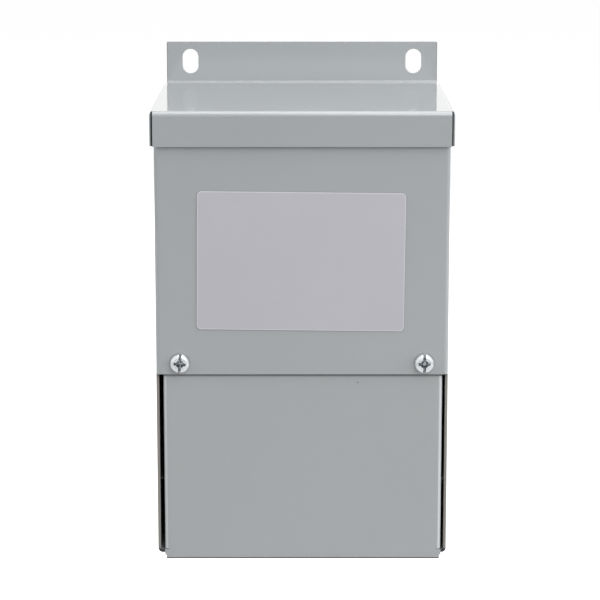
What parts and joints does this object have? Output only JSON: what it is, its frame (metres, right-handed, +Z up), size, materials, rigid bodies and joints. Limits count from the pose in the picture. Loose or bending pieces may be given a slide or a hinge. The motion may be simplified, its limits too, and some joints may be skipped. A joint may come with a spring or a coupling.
{
  "type": "wall-mounted buck-boost transformer",
  "caption": "Potted wall-mounted buck-boost transformer in a folded grey steel case with slotted flanges, a screwed wiring cover and conduit knockouts.",
  "frame": {"origin": "on the rear face of the back panel, on the middle line, midway between the upper and lower mounting slots", "axes": "+Z up, +Y into the wall, the front with the nameplate faces -Y, +X to the right as seen from the front"},
  "size_m": [0.0988, 0.0941, 0.182],
  "materials": {
    "case_paint": "semi-gloss light grey enamel",
    "label_film": "satin film, bare",
    "zinc_screw": "bright zinc plate",
    "potting_resin": "cast resin and sand",
    "core_steel": "stacked laminations",
    "former_board": "pressed board",
    "winding_copper": "enamelled copper wire"
  },
  "bodies": {
    "root": {"hood": "case_paint", "case_wrapper": "case_paint", "back_panel": "case_paint", "lower_cover": "case_paint", "knockout_ring_left": "case_paint", "knockout_ring_right": "case_paint", "knockout_slug_left": "case_paint", "knockout_slug_right": "case_paint", "nameplate": "label_film", "cover_screw_left": "zinc_screw", "cover_screw_right": "zinc_screw", "potting": "potting_resin", "core_stack": "core_steel", "coil_former": "former_board", "inner_winding": "winding_copper", "outer_winding": "winding_copper"}
  },
  "joints": []
}
